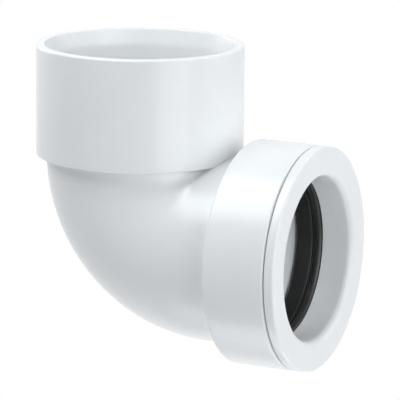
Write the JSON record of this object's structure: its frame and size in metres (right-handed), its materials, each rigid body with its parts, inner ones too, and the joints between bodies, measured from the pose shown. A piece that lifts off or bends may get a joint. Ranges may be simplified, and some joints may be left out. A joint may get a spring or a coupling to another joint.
{
  "type": "waste pipe bend",
  "caption": "Right-angle white plastic waste pipe bend: solvent-weld socket above, ring-seal socket at the side, whose snap-in cap holds a black rubber lip seal.",
  "frame": {"origin": "middle of the pipe stop inside the solvent-weld socket", "axes": "+Z out of the solvent-weld socket through its mouth, +X out of the ring-seal socket through its mouth"},
  "size_m": [0.0715, 0.0528, 0.0731],
  "materials": {
    "white_plastic": "semi-gloss moulded",
    "black_rubber": "satin moulded"
  },
  "bodies": {
    "root": {"elbow_body": "white_plastic", "seal_ring": "black_rubber", "retaining_cap": "white_plastic"}
  },
  "joints": []
}
